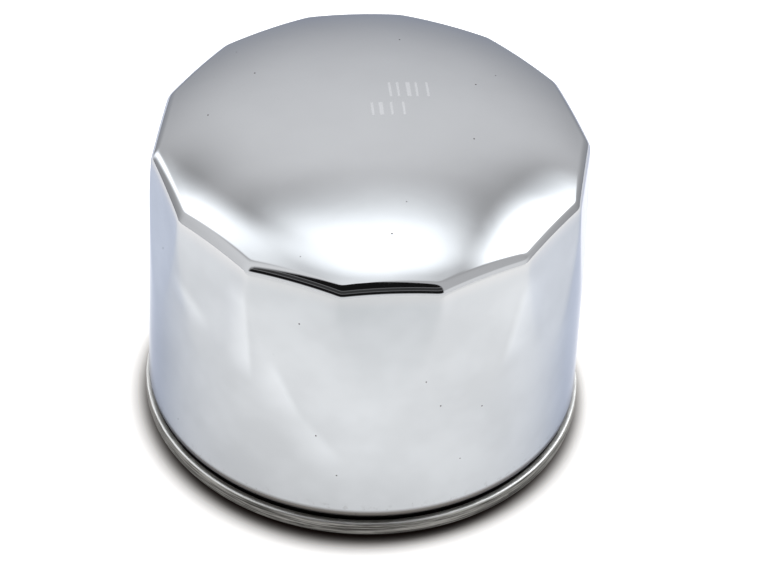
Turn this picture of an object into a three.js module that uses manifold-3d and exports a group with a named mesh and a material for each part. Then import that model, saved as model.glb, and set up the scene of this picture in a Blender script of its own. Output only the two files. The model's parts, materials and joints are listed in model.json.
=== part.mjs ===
// A short spin-on oil filter: a drawn can with a fluted, domed end, closed by a lid, a threaded
// tapping plate and a gasket, round a pleated element with its bypass and anti-drain-back valves.
// Millimetres. z = 0 is the gasket's sealing face, +Z runs up the axis to the dome.
import * as THREE from 'three';
import { mergeVertices } from 'three/addons/utils/BufferGeometryUtils.js';
import Module from 'manifold-3d';

const wasm = await Module();
wasm.setup();

// Driving dimensions.
const gap = 0.1; // play left between pieces that touch
const play = 0.3; // play left between round pieces that nest

const can = { radius: 38.1, sheet: 0.6, neckRadius: 36.9, shoulderZ: 6.5 };
const dome = { top: 63, crown: 3.95, brow: 1.86, fillet: 2.8, rimDrop: 1.96 };
const flute = { count: 14, turn: -6.14, apothem: 37, length: 24 };
const seam = { radius: 38.6, bottom: 1.6, top: 4.5, lipRadius: 37.5 };
const lid = { sheet: 0.6, innerRadius: 26, ribInner: 29, ribOuter: 30.4, ribFoot: 2.8 };
const gasket = { inner: 30.8, outer: 34.7, height: 5, edge: 0.5 };
const plate = { radius: 35.2, thickness: 3.2, boreRadius: 8.7, hubRadius: 12.2, hubTop: 17.4 };
const inlet = { count: 8, radius: 3.1, circle: 22 };
const valve = { thickness: 1.2, waist: 14.9, neck: 14.3, splitRadius: 19.6, lipRadius: 28.6 };
const element = { bottom: 14.3, top: 48.5, radius: 32.5, sheet: 0.5, cupDepth: 4.2, corner: 0.3 };
const cupNeck = { radius: 14.6, height: 2.2 };
const tube = { inner: 15.6, outer: 16.2, holeRadius: 2, holesRound: 8, rows: 3 };
const pleats = { count: 32, inner: 17, outer: 31.3, paper: 0.6, fold: 1.4 };
const potting = { inner: 16.5, outer: 31.7, depth: 1.6 };
const bypass = { seatRadius: 6.6, seatDepth: 1.1, discRadius: 9.4, sheet: 0.6, seal: 0.8, depth: 12 };
const rivet = { radius: 1.3, headRadius: 2.6, headHeight: 1.1, foot: 1.5 };
const cage = { inner: 10.6, outer: 11.1, flange: 14.9, lip: 0.8 };
const cageWindow = { count: 4, width: 8, height: 6 };
const springSeatHole = { count: 6, radius: 1.2, circle: 8.2 };
const coil = { radius: 5.8, wire: 0.4, turns: 4 };
const leaf = { width: 18, thickness: 0.8, hole: 6.8, flatHalf: 10, reach: 24, tip: 27, curl: 1.6 };
const clip = { inner: 24.5, outer: 31, thickness: 0.7 };

// Sides on round pieces.
const fluteSteps = 4;
const canSides = flute.count * fluteSteps;
const roundSides = 36;
const innerSides = 28;
const smallSides = 20;

// Heights and radii that follow from them.
const lidRoof = gasket.height + 2 * gap;
const plateBottom = lidRoof + lid.sheet + gap;
const plateTop = plateBottom + plate.thickness;
const elementRoof = element.top - element.sheet;
const elementFloor = element.bottom + element.sheet;
const channelRadius = gasket.outer + play;
const seatZ = elementRoof - bypass.seatDepth;

const finishes = {
  chrome: { color: 0xd9dbde, metalness: 1, roughness: 0.07 },
  galvanised: { color: 0x9b9c98, metalness: 0.9, roughness: 0.42 },
  plateSteel: { color: 0x8d8b84, metalness: 0.9, roughness: 0.5 },
  tinplate: { color: 0xb3b2a9, metalness: 0.9, roughness: 0.35 },
  springSteel: { color: 0x6f7073, metalness: 0.9, roughness: 0.38 },
  nitrile: { color: 0x17181a, metalness: 0, roughness: 0.55 },
  silicone: { color: 0x8c2f1c, metalness: 0, roughness: 0.5 },
  plastisol: { color: 0x3b3f36, metalness: 0, roughness: 0.6 },
  paper: { color: 0xd8b878, metalness: 0, roughness: 0.95 },
};

const filter = new THREE.Group();

function place(name, finish, geometry) {
  const mesh = new THREE.Mesh(geometry, new THREE.MeshStandardMaterial(finishes[finish]));
  mesh.name = name;
  filter.add(mesh);
}

const point = ([r, z]) => new THREE.Vector2(r, z);

// A body of revolution about Z. The outline is (radius, height), anticlockwise.
function revolve(outline, sides) {
  const onAxis = outline[0][0] === 0;
  const closed = onAxis ? outline : [...outline, outline[0]];
  const geometry = new THREE.LatheGeometry(closed.map(point), sides);
  return geometry.rotateX(Math.PI / 2);
}

function solidOf(geometry) {
  const bare = geometry.clone();
  bare.deleteAttribute('normal');
  bare.deleteAttribute('uv');
  const merged = mergeVertices(bare, 1e-4);
  const vertProperties = merged.attributes.position.array;
  const triVerts = new Uint32Array(merged.index.array);
  return new wasm.Manifold(new wasm.Mesh({ numProp: 3, vertProperties, triVerts }));
}

function geometryOf(solid) {
  const { vertProperties, triVerts } = solid.getMesh();
  const geometry = new THREE.BufferGeometry();
  geometry.setAttribute('position', new THREE.BufferAttribute(vertProperties, 3));
  geometry.setIndex(new THREE.BufferAttribute(triVerts, 1));
  return geometry;
}

// One geometry with every cutter taken out of it.
function cut(geometry, cutters) {
  return geometryOf(cutters.reduce((left, tool) => left.subtract(solidOf(tool)), solidOf(geometry)));
}

// Copies of a tool standing round the Z axis.
function ring(count, makeTool, turn = 0) {
  return Array.from({ length: count }, (_, k) => makeTool().rotateZ(turn + (k * 2 * Math.PI) / count));
}

// An upright round drill through the heights low to high, standing off the axis by x.
function drill(radius, low, high, x, sides) {
  return new THREE.CylinderGeometry(radius, radius, high - low, sides)
    .rotateX(Math.PI / 2)
    .translate(x, 0, (low + high) / 2);
}

// ---- can ----

// The neck's way out to the full can: share of the step out, and height below the shoulder.
const neckFlare = [[0, 1.3], [0.5, 0.95], [0.9, 0.4], [1, 0]];

// Height of the dome's outer face: a shallow bowl with a brow that falls away near the rim.
function domeHeight(r) {
  const share = r / flute.apothem;
  return dome.top - dome.crown * share ** 2 - dome.brow * share ** 6;
}

function domeSlope(r) {
  const share = r / flute.apothem;
  return Math.atan((2 * dome.crown * share + 6 * dome.brow * share ** 5) / flute.apothem);
}

const rimSlope = domeSlope(flute.apothem - dome.fillet);
const rimZ = domeHeight(flute.apothem) - dome.rimDrop;

// The angle between a direction and the middle of the flat that it meets.
function angleOffFlat(angle) {
  const pitch = (2 * Math.PI) / flute.count;
  const fromCorner = angle - THREE.MathUtils.degToRad(flute.turn);
  const turns = fromCorner / pitch;
  return (turns - Math.floor(turns) - 0.5) * pitch;
}

// Wall radius in one direction: the round can, pressed in by a flat that leans out as it goes down.
function wallRadius(angle, z) {
  const lean = (can.radius - flute.apothem) / flute.length;
  const flat = (flute.apothem + lean * (rimZ - z)) / Math.cos(angleOffFlat(angle));
  return Math.min(can.radius, flat);
}

// One skin of the can in one direction, from the neck up to the middle of the dome.
// inset is 0 for the outer skin and the sheet's thickness for the inner one.
function canSkin(angle, inset) {
  const rimRadius = wallRadius(angle, rimZ);
  const filletMiddle = rimRadius - dome.fillet;
  const domeEdge = filletMiddle + dome.fillet * Math.sin(rimSlope);
  const filletZ = domeHeight(domeEdge) - dome.fillet * Math.cos(rimSlope);
  const filletRadius = dome.fillet - inset;
  const stepOut = can.radius - can.neckRadius;
  const skin = neckFlare.map(([share, drop]) => {
    return [can.neckRadius + stepOut * share - inset, can.shoulderZ - drop];
  });
  for (const share of [1, 0.7, 0.4]) {
    const z = rimZ - flute.length * share;
    skin.push([wallRadius(angle, z) - inset, z]);
  }
  for (const share of [0, 0.45]) {
    const slope = Math.PI / 2 + (rimSlope - Math.PI / 2) * share;
    const r = filletMiddle + filletRadius * Math.sin(slope);
    skin.push([r, filletZ + filletRadius * Math.cos(slope)]);
  }
  for (const share of [1, 0.75, 0.4]) {
    skin.push([domeEdge * share, domeHeight(domeEdge * share) - inset]);
  }
  skin.push([0, dome.top - inset]);
  return skin;
}

// The sheet's section: inner skin down from the dome, round the seam flange, outer skin up.
function canSection(angle) {
  const flangeZ = seam.bottom + lid.sheet + 6 * gap;
  const flangeRadius = seam.radius - lid.sheet - play;
  return [
    ...canSkin(angle, can.sheet).reverse(),
    [can.neckRadius - can.sheet, flangeZ],
    [flangeRadius, flangeZ],
    [flangeRadius, flangeZ + can.sheet],
    [can.neckRadius, flangeZ + can.sheet],
    ...canSkin(angle, 0),
  ];
}

// The section turned round the axis, with each direction's own section put in.
function canShell() {
  const rows = canSection(0).length;
  const geometry = new THREE.LatheGeometry(canSection(0).map(point), canSides);
  const position = geometry.attributes.position;
  for (let side = 0; side <= canSides; side += 1) {
    const angle = ((side % canSides) * 2 * Math.PI) / canSides;
    const fromTurn = angle + THREE.MathUtils.degToRad(flute.turn);
    canSection(fromTurn).forEach(([r, z], row) => {
      position.setXYZ(side * rows + row, r * Math.sin(fromTurn), z, r * Math.cos(fromTurn));
    });
  }
  return geometry.rotateX(Math.PI / 2);
}

place('can', 'chrome', canShell());

// ---- lid, seam, gasket ----

function lidOutline() {
  const foot = seam.bottom;
  const web = lidRoof + lid.sheet;
  const hookZ = seam.top - lid.sheet;
  const round = 0.4;
  return [
    [lid.innerRadius, lidRoof],
    [lid.ribInner, lidRoof],
    [lid.ribInner, lid.ribFoot + round],
    [lid.ribInner + round, lid.ribFoot],
    [lid.ribOuter - round, lid.ribFoot],
    [lid.ribOuter, lid.ribFoot + round],
    [lid.ribOuter, lidRoof],
    [channelRadius, lidRoof],
    [channelRadius, foot + round],
    [channelRadius + round, foot],
    [seam.radius - round, foot],
    [seam.radius, foot + round],
    [seam.radius, seam.top - round],
    [seam.radius - round, seam.top],
    [seam.lipRadius, seam.top],
    [seam.lipRadius, hookZ],
    [seam.radius - lid.sheet, hookZ],
    [seam.radius - lid.sheet, foot + lid.sheet],
    [channelRadius + lid.sheet, foot + lid.sheet],
    [channelRadius + lid.sheet, web],
    [lid.innerRadius, web],
  ];
}

place('seaming_lid', 'galvanised', revolve(lidOutline(), roundSides));

// A plain ring between two radii and two heights.
const ringOutline = (inner, outer, low, high) => [
  [inner, low],
  [outer, low],
  [outer, high],
  [inner, high],
];

function seamCompound() {
  const low = seam.bottom + lid.sheet + gap;
  const outer = seam.radius - lid.sheet - play;
  return revolve(ringOutline(can.neckRadius - can.sheet, outer, low, low + 4 * gap), roundSides);
}

place('seam_compound', 'plastisol', seamCompound());

function gasketOutline() {
  const { inner, outer, height, edge } = gasket;
  return [
    [inner + edge, 0],
    [outer - edge, 0],
    [outer, edge],
    [outer, height],
    [inner, height],
    [inner, edge],
  ];
}

place('mounting_gasket', 'nitrile', revolve(gasketOutline(), roundSides));

// ---- tapping plate with its hub and inlet holes ----

function tappingPlate() {
  const { radius, boreRadius, hubRadius, hubTop } = plate;
  const edge = 0.4;
  const lead = 0.9;
  const outline = [
    [boreRadius + lead, plateBottom],
    [radius - edge, plateBottom],
    [radius, plateBottom + edge],
    [radius, plateTop],
    [hubRadius + 1, plateTop],
    [hubRadius, plateTop + 1],
    [hubRadius, hubTop - edge],
    [hubRadius - edge, hubTop],
    [boreRadius + edge, hubTop],
    [boreRadius, hubTop - edge],
    [boreRadius, plateBottom + lead],
  ];
  const hole = () => drill(inlet.radius, plateBottom - 1, plateTop + 1, inlet.circle, 12);
  return cut(revolve(outline, roundSides), ring(inlet.count, hole));
}

place('tapping_plate', 'plateSteel', tappingPlate());

// ---- anti-drain-back valve: one rubber moulding, a clamped collar and a flap that lifts ----

const collarShoulder = element.bottom - 2 * gap;

// A thick ring round the hub, a neck inside the lower cup, and a web that slopes down outwards.
function collarOutline() {
  const { thickness, waist, neck, splitRadius } = valve;
  const inner = plate.hubRadius + play;
  const bevel = 1.2;
  const neckTop = collarShoulder + 2.4;
  const webRoot = plateTop + 2.4;
  const webTip = plateTop + 1.7;
  const webRound = 0.2;
  return [
    [inner, plateTop + bevel],
    [inner + bevel, plateTop + gap],
    [waist, plateTop + gap],
    [waist, webRoot],
    [splitRadius, webTip],
    [splitRadius, webTip + thickness],
    [waist, webRoot + thickness + webRound],
    [waist, collarShoulder],
    [neck, collarShoulder],
    [neck, neckTop],
    [inner, neckTop],
  ];
}

place('antidrain_collar', 'silicone', revolve(collarOutline(), innerSides));

// The web goes on outwards and ends in a bead, whose flat foot lies on the plate.
function flapOutline() {
  const inner = valve.splitRadius + play;
  const lip = valve.lipRadius;
  const rootZ = plateTop + 1.65;
  const webEnd = plateTop + 0.6;
  const beadTop = plateTop + 1.3;
  const bead = { width: 1.4, belly: 0.3, bellyZ: plateTop + 0.5 };
  return [
    [inner, rootZ],
    [lip - bead.width - 0.6, webEnd],
    [lip - bead.width, plateTop + gap],
    [lip, plateTop + gap],
    [lip + bead.belly, bead.bellyZ],
    [lip, beadTop],
    [lip - bead.width, webEnd + valve.thickness],
    [inner, rootZ + valve.thickness],
  ];
}

place('antidrain_flap', 'silicone', revolve(flapOutline(), innerSides));

// ---- element: two pressed cups, potting, paper, seam clip and perforated tube ----

function lowerCup() {
  const { bottom, radius, sheet, cupDepth, corner } = element;
  const neck = cupNeck.radius;
  const neckTop = elementFloor + cupNeck.height;
  const outline = [
    [neck, bottom],
    [radius - corner, bottom],
    [radius, bottom + corner],
    [radius, bottom + cupDepth],
    [radius - sheet, bottom + cupDepth],
    [radius - sheet, elementFloor],
    [neck + sheet, elementFloor],
    [neck + sheet, neckTop],
    [neck, neckTop],
  ];
  return revolve(outline, innerSides);
}

function upperCup() {
  const { top, radius, sheet, cupDepth, corner } = element;
  const { seatRadius } = bypass;
  const outline = [
    [seatRadius, seatZ],
    [seatRadius + sheet, seatZ],
    [seatRadius + sheet, elementRoof],
    [radius - sheet, elementRoof],
    [radius - sheet, top - cupDepth],
    [radius, top - cupDepth],
    [radius, top - corner],
    [radius - corner, top],
    [seatRadius, top],
  ];
  return revolve(outline, innerSides);
}

place('lower_end_cap', 'tinplate', lowerCup());
place('upper_end_cap', 'tinplate', upperCup());

const pottingRing = (low) =>
  revolve(ringOutline(potting.inner, potting.outer, low, low + potting.depth), innerSides);
const lowerPottingZ = elementFloor + gap;
const upperPottingZ = elementRoof - gap - potting.depth;

place('lower_potting', 'plastisol', pottingRing(lowerPottingZ));
place('upper_potting', 'plastisol', pottingRing(upperPottingZ));

// A closed zigzag round the axis: each pleat has a flat tip and a flat root, given as half widths.
function zigzag(tipRadius, tipHalf, rootRadius, rootHalf) {
  const pitch = (2 * Math.PI) / pleats.count;
  const points = [];
  for (let k = 0; k < pleats.count; k += 1) {
    const middle = k * pitch;
    const corners = [
      [tipRadius, middle - tipHalf / tipRadius],
      [tipRadius, middle + tipHalf / tipRadius],
      [rootRadius, middle + pitch / 2 - rootHalf / rootRadius],
      [rootRadius, middle + pitch / 2 + rootHalf / rootRadius],
    ];
    for (const [r, angle] of corners) {
      points.push(new THREE.Vector2(r * Math.cos(angle), r * Math.sin(angle)));
    }
  }
  return points;
}

const mediaLow = lowerPottingZ + potting.depth + gap;
const mediaHigh = upperPottingZ - gap;

function foldedPaper() {
  const { inner, outer, paper, fold } = pleats;
  const thin = fold / 2 - paper;
  const shape = new THREE.Shape(zigzag(outer, fold / 2, inner + paper, thin));
  shape.holes.push(new THREE.Path(zigzag(outer - paper, thin, inner, fold / 2)));
  const geometry = new THREE.ExtrudeGeometry(shape, { depth: mediaHigh - mediaLow, bevelEnabled: false });
  return geometry.translate(0, 0, mediaLow);
}

place('pleated_media', 'paper', foldedPaper());

// The clip stands in a valley between two pleats.
function seamClip() {
  const { inner, outer, thickness } = clip;
  const height = mediaHigh - mediaLow - 2 * play;
  const valley = Math.PI / pleats.count;
  return new THREE.BoxGeometry(outer - inner, thickness, height)
    .translate((inner + outer) / 2, 0, (mediaLow + mediaHigh) / 2)
    .rotateZ(valley);
}

place('media_seam_clip', 'tinplate', seamClip());

function perforatedTube() {
  const low = elementFloor + gap;
  const high = elementRoof - gap;
  const rowPitch = (high - low) / (tube.rows + 1);
  const holes = [];
  for (let row = 1; row <= tube.rows; row += 1) {
    const punch = () =>
      drill(tube.holeRadius, tube.inner - 1, tube.outer + 1, 0, 6)
        .rotateY(Math.PI / 2)
        .translate(0, 0, low + row * rowPitch);
    const stagger = ((row % 2) * Math.PI) / tube.holesRound;
    holes.push(...ring(tube.holesRound, punch, stagger));
  }
  return cut(revolve(ringOutline(tube.inner, tube.outer, low, high), innerSides), holes);
}

place('center_tube', 'tinplate', perforatedTube());

// ---- bypass valve, hung under the upper cup ----

const cageTop = elementRoof - gap;
const cageBottom = cageTop - bypass.depth + bypass.sheet;
const seatPlateZ = cageBottom + (cage.outer - cage.inner) + gap;
const seatPlateTop = seatPlateZ + bypass.sheet;

function bypassCage() {
  const { inner, outer, flange, lip } = cage;
  const { count, width, height } = cageWindow;
  const sheet = outer - inner;
  const outline = [
    [inner - lip, cageBottom],
    [outer, cageBottom],
    [outer, cageTop - sheet],
    [flange, cageTop - sheet],
    [flange, cageTop],
    [inner, cageTop],
    [inner, cageBottom + sheet],
    [inner - lip, cageBottom + sheet],
  ];
  const middle = (cageBottom + cageTop) / 2 - 0.4;
  const punch = () =>
    new THREE.BoxGeometry(sheet + 3, width, height).translate((inner + outer) / 2, 0, middle);
  return cut(revolve(outline, innerSides), ring(count, punch));
}

place('bypass_cage', 'tinplate', bypassCage());

function springSeat() {
  const outer = cage.inner - play;
  const inner = rivet.radius + play + gap;
  const outline = ringOutline(inner, outer, seatPlateZ, seatPlateTop);
  const { count, radius, circle } = springSeatHole;
  const hole = () => drill(radius, seatPlateZ - 1, seatPlateTop + 1, circle, 8);
  return cut(revolve(outline, smallSides), ring(count, hole));
}

place('bypass_spring_seat', 'tinplate', springSeat());

const sealTop = seatZ - gap;
const sealBottom = sealTop - bypass.seal;
const discTop = sealBottom - gap;
const discBottom = discTop - bypass.sheet;

const washer = (outer, low, high) =>
  revolve(ringOutline(rivet.radius + play, outer, low, high), smallSides);

place('bypass_disc', 'tinplate', washer(bypass.discRadius, discBottom, discTop));
place('bypass_seal', 'nitrile', washer(bypass.discRadius - 0.4, sealBottom, sealTop));

// A rivet: the head lies on the seal washer, the shank runs down through the spring seat.
function stem() {
  const { radius, headRadius, headHeight } = rivet;
  const bevel = 0.3;
  const headZ = sealTop + gap;
  const footZ = seatPlateZ - rivet.foot;
  const outline = [
    [0, footZ],
    [radius - bevel, footZ],
    [radius, footZ + bevel],
    [radius, headZ],
    [headRadius, headZ],
    [headRadius * 0.9, headZ + headHeight * 0.64],
    [headRadius * 0.46, headZ + headHeight],
    [0, headZ + headHeight],
  ];
  return revolve(outline, 16);
}

place('bypass_stem', 'springSteel', stem());

class Helix extends THREE.Curve {
  constructor(radius, turns, low, high) {
    super();
    Object.assign(this, { radius, turns, low, high });
  }

  getPoint(t, target = new THREE.Vector3()) {
    const angle = t * this.turns * 2 * Math.PI;
    const z = this.low + (this.high - this.low) * t;
    return target.set(this.radius * Math.cos(angle), this.radius * Math.sin(angle), z);
  }
}

// Round wire along a helix, with its ends clear of the seat and the disc.
function bypassSpring() {
  const clear = gap + coil.wire * 1.1;
  const low = seatPlateTop + clear;
  const high = discBottom - clear;
  const section = new THREE.Shape().absarc(0, 0, coil.wire, 0, 2 * Math.PI);
  return new THREE.ExtrudeGeometry(section, {
    curveSegments: 3,
    steps: coil.turns * 12,
    extrudePath: new Helix(coil.radius, coil.turns, low, high),
  });
}

place('bypass_spring', 'springSteel', bypassSpring());

// ---- leaf spring between the element and the dome ----

// A bowed strip: a flat middle on the upper cup, two arms that rise to the dome and curl over.
function elementSpring() {
  const { width, thickness, hole, flatHalf, reach, tip, curl } = leaf;
  const low = element.top + gap;
  const high = domeHeight(Math.hypot(reach, width / 2)) - can.sheet - play - thickness;
  const rise = high - low;
  const arm = [
    [flatHalf, 0],
    [flatHalf + 2, rise * 0.08],
    [reach - 5, rise * 0.72],
    [reach - 2, rise * 0.94],
    [reach, rise],
    [tip, rise - curl],
  ];
  const under = [...arm.map(([x, z]) => [-x, z]).reverse(), ...arm];
  const over = under.map(([x, z]) => [x, z + thickness]).reverse();
  const side = new THREE.Shape([...under, ...over].map(([x, z]) => new THREE.Vector2(x, low + z)));
  const strip = new THREE.ExtrudeGeometry(side, { depth: width, bevelEnabled: false })
    .translate(0, 0, -width / 2)
    .rotateX(Math.PI / 2);
  return cut(strip, [drill(hole, low - 1, low + 2, 0, smallSides)]);
}

place('element_spring', 'springSteel', elementSpring());

export default filter;
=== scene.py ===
# A short spin-on oil filter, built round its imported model: pieces, finishes, studio.
# Lengths in the dictionaries are millimetres; +Z runs up the axis and z = 0 is the gasket's face.
import json
import math

import bmesh
import bpy
import numpy as np
from mathutils import Matrix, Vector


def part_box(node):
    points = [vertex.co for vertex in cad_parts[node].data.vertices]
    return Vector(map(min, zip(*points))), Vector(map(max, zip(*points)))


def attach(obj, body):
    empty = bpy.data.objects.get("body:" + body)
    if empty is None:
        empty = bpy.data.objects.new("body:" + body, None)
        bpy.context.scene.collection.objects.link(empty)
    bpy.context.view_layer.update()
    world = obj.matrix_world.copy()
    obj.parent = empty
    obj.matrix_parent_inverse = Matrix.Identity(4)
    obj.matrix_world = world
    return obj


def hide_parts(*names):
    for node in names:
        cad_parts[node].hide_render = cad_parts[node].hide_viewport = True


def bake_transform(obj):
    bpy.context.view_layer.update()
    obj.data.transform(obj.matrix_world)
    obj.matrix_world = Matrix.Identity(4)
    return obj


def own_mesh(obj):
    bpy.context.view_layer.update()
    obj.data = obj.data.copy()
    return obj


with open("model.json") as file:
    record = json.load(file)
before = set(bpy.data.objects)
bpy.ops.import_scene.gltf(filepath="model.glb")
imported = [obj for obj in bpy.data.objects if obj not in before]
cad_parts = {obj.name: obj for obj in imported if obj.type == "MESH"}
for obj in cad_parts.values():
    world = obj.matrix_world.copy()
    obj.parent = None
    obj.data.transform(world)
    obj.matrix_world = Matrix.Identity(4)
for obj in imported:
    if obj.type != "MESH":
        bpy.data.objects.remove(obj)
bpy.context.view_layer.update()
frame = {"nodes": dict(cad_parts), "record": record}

mm = 0.001
print("frame loaded:", len(frame["nodes"]), "nodes")


def boxOf(node):
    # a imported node's lowest and highest corner, in millimetres
    low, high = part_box(node)
    return np.array(low) / mm, np.array(high) / mm


def colour(tint):
    # a wire as it is, or red, green and blue with a full alpha
    return tint if isinstance(tint, Wire) else (*tint, 1.0)


class Wire:
    # One socket of a node tree. Sums and products of wires and numbers add Math nodes.
    def __init__(self, tree, socket=None):
        self.tree = tree
        self.socket = socket

    def add(self, kind, settings=None, inputs=None, output=0):
        # any other node: its settings go in first, then the values or wires of its sockets
        node = self.tree.nodes.new("ShaderNode" + kind)
        for key, value in (settings or {}).items():
            setattr(node, key, value)
        for key, value in (inputs or {}).items():
            if isinstance(value, Wire):
                self.tree.links.new(value.socket, node.inputs[key])
            else:
                node.inputs[key].default_value = value
        return Wire(self.tree, node.outputs[output] if node.outputs else None)

    def math(self, operation, *values):
        inputs = dict(enumerate(values))
        return self.add("Math", {"operation": operation}, inputs)

    def __abs__(self): return self.math("ABSOLUTE", self)
    def most(self, other): return self.math("MAXIMUM", self, other)
    def root(self): return self.math("SQRT", self)
    def sine(self): return self.math("SINE", self)
    def exponent(self): return self.math("EXPONENT", self)
    def below(self, limit): return self.math("LESS_THAN", self, limit)

    def fromAxis(self):
        # distance of a place from the Z axis
        x, y, z = self.split()
        return (x * x + y * y).root()

    def ease(self, start, end):
        # 0 at start, 1 at end, with a smooth S between; start may be the larger
        low, high = min(start, end), max(start, end)
        inputs = {"Value": self, "From Min": low, "From Max": high}
        risen = self.add("MapRange", {"interpolation_type": "SMOOTHSTEP"}, inputs)
        return risen if start < end else 1 - risen

    def split(self):
        parts = self.tree.nodes.new("ShaderNodeSeparateXYZ")
        self.tree.links.new(self.socket, parts.inputs[0])
        return [Wire(self.tree, socket) for socket in parts.outputs]

    def join(self, x, y, z):
        return self.add("CombineXYZ", {}, {0: x, 1: y, 2: z})

    def scaled(self, x, y, z):
        # the vector times a fixed factor along each axis
        return self.add("VectorMath", {"operation": "MULTIPLY"}, {0: self, 1: (x, y, z)})

    def shifted(self, seed):
        # the same pattern from another place, 137 mm further on for each whole seed
        step = {0: self, 1: (137 * seed, 59 * seed, 83 * seed)}
        return self.add("VectorMath", {"operation": "ADD"}, step)

    def noise(self, size, detail=2.0, roughness=0.5, seed=0.0):
        # smooth noise whose blobs are about `size` mm across, 0 to 1
        inputs = {"Vector": self.shifted(seed), "Scale": 1 / size, "Detail": detail,
                  "Roughness": roughness}
        return self.add("TexNoise", {}, inputs)

    def dots(self, spacing, radius, share, seed=0.0):
        # 1 inside small round spots: one to a cell of `spacing` mm, kept in a share of the cells
        inputs = {"Vector": self.shifted(seed), "Scale": 1 / spacing}
        distance = self.add("TexVoronoi", {}, inputs)
        cell = self.add("TexVoronoi", {}, inputs, output=1)
        kept = cell.split()[0].below(share)
        return distance.ease(radius / spacing, 0.6 * radius / spacing) * kept

    def blend(self, first, second):
        # colours: first where this wire is 0, second where it is 1
        inputs = {0: self, 6: colour(first), 7: colour(second)}
        return self.add("Mix", {"data_type": "RGBA"}, inputs, output=2)


# a + b, a - b, a * b, a / b and a ** b, with the wire on either side
for name, operation in {"add": "ADD", "sub": "SUBTRACT", "mul": "MULTIPLY", "truediv": "DIVIDE",
                        "pow": "POWER"}.items():
    setattr(Wire, f"__{name}__", lambda a, b, kind=operation: a.math(kind, a, b))
    setattr(Wire, f"__r{name}__", lambda b, a, kind=operation: b.math(kind, a, b))


def newFinish(name):
    # an empty material and a wire of Object coordinates in millimetres
    material = bpy.data.materials.new(name)
    material.use_nodes = True
    tree = material.node_tree
    tree.nodes.clear()
    start = Wire(tree)
    place = start.add("TexCoord", {}, {}, output=3).scaled(1000, 1000, 1000)
    return material, place


def finishWith(material, inputs, bump=None, bumpHeight=0.05):
    # one Principled surface; bump is a height wire, and 1 on it stands bumpHeight mm high
    start = Wire(material.node_tree)
    if bump is not None:
        settings = {"Height": bump, "Distance": bumpHeight * mm}
        inputs = {**inputs, "Normal": start.add("Bump", {}, settings)}
    surface = start.add("BsdfPrincipled", {}, inputs)
    start.add("OutputMaterial", {}, {"Surface": surface})
    return material


def aroundAxis(place, aroundScale, alongScale):
    # coordinates that run slowly round the axis and fast along it and outwards, with no seam
    x, y, z = place.split()
    radius = place.fromAxis().most(0.01)
    across = (z + radius) * alongScale
    return place.join(x / radius * aroundScale, y / radius * aroundScale, across)


def twoTone(amount, look):
    # from the look's dark tint to its light one, as the amount goes over its mix
    return amount.ease(*look["mix"]).blend(look["dark"], look["light"])


def spotted(tint, amount, look, key):
    # the tint where the amount is 0, the look's tint of that name where it is 1
    return (amount * look[key + "Strength"]).blend(tint, look[key])


# The wall's tint is a darker copy of the dome's: painted shade on the same plate.
chromeLook = dict(domeTint=(0.488, 0.496, 0.508), shadedWallTint=(0.455, 0.474, 0.495),
                  edgeTint=(0.52, 0.56, 0.66), roughness=0.04, domeVariation=0.02,
                  wallVariation=0.06, wallTop=(56, 53), peelHeight=0.014, speckSpacing=3.5,
                  speckRadius=0.18, speckShare=0.42, speckTint=(0.04, 0.03, 0.025),
                  # the dark brown tint of the stains along the seam and of the painted shade in
                  # the neck
                  stainsAndPaintedShade=(0.09, 0.075, 0.06), stainsAndPaintedShadeStrength=0.85, broadSize=24.0, cloudSize=9.0)
etchLook = dict(
    tint=(0.76, 0.76, 0.77),
    tintStrength=0.42,
    roughness=0.25,
    turn=7.0,
    softness=0.1,
    above=(50, 52),
    rows=[
        dict(across=8.5, half=2.0, bars=[(3.7, 0.2), (5.1, 0.2), (6.9, 0.35), (8.3, 0.2),
                                         (10.2, 0.2)]),
        dict(across=3.2, half=1.7, bars=[(0.2, 0.2), (1.7, 0.35), (3.5, 0.2), (5.6, 0.2)]),
    ],
)
# Each crease runs from start to end, both given as degrees round the can and a height in mm.
foldLook = dict(
    # shade is how far a crease lightens the plate's tint, a painted highlight
    shade=1.1,
    runIn=(-2, 4),
    folds=[
        dict(start=(-32.0, 52.0), end=(-29.5, 33.0), width=0.7, fall=6.0, height=0.09),
        dict(start=(-23.0, 38.0), end=(-15.0, 27.0), width=0.9, fall=8.0, height=0.075),
        dict(start=(-15.5, 28.0), end=(-4.0, 19.0), width=1.2, fall=8.0, height=0.055),
        dict(start=(45.0, 51.0), end=(39.0, 36.0), width=1.0, fall=-8.0, height=0.08),
        dict(start=(-58.0, 44.0), end=(-44.0, 39.0), width=1.6, fall=5.0, height=0.09),
        dict(start=(98.0, 50.0), end=(101.0, 30.0), width=0.8, fall=7.0, height=0.08),
        dict(start=(172.0, 51.0), end=(165.0, 28.0), width=1.0, fall=-9.0, height=0.075),
    ],
)


def etchedBars(place):
    # two short rows of plain upright bars, cut into the top of the dome
    turn = math.radians(etchLook["turn"])
    soft = etchLook["softness"]
    x, y, z = place.split()
    along = x * math.cos(turn) + y * math.sin(turn)
    across = y * math.cos(turn) - x * math.sin(turn)
    total = 0.0
    for row in etchLook["rows"]:
        inRow = abs(across - row["across"]).ease(row["half"] + soft, row["half"] - soft)
        bars = sum(abs(along - middle).ease(half + soft, half - soft)
                   for middle, half in row["bars"])
        total = total + bars * inRow
    return total * z.ease(*etchLook["above"])


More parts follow.
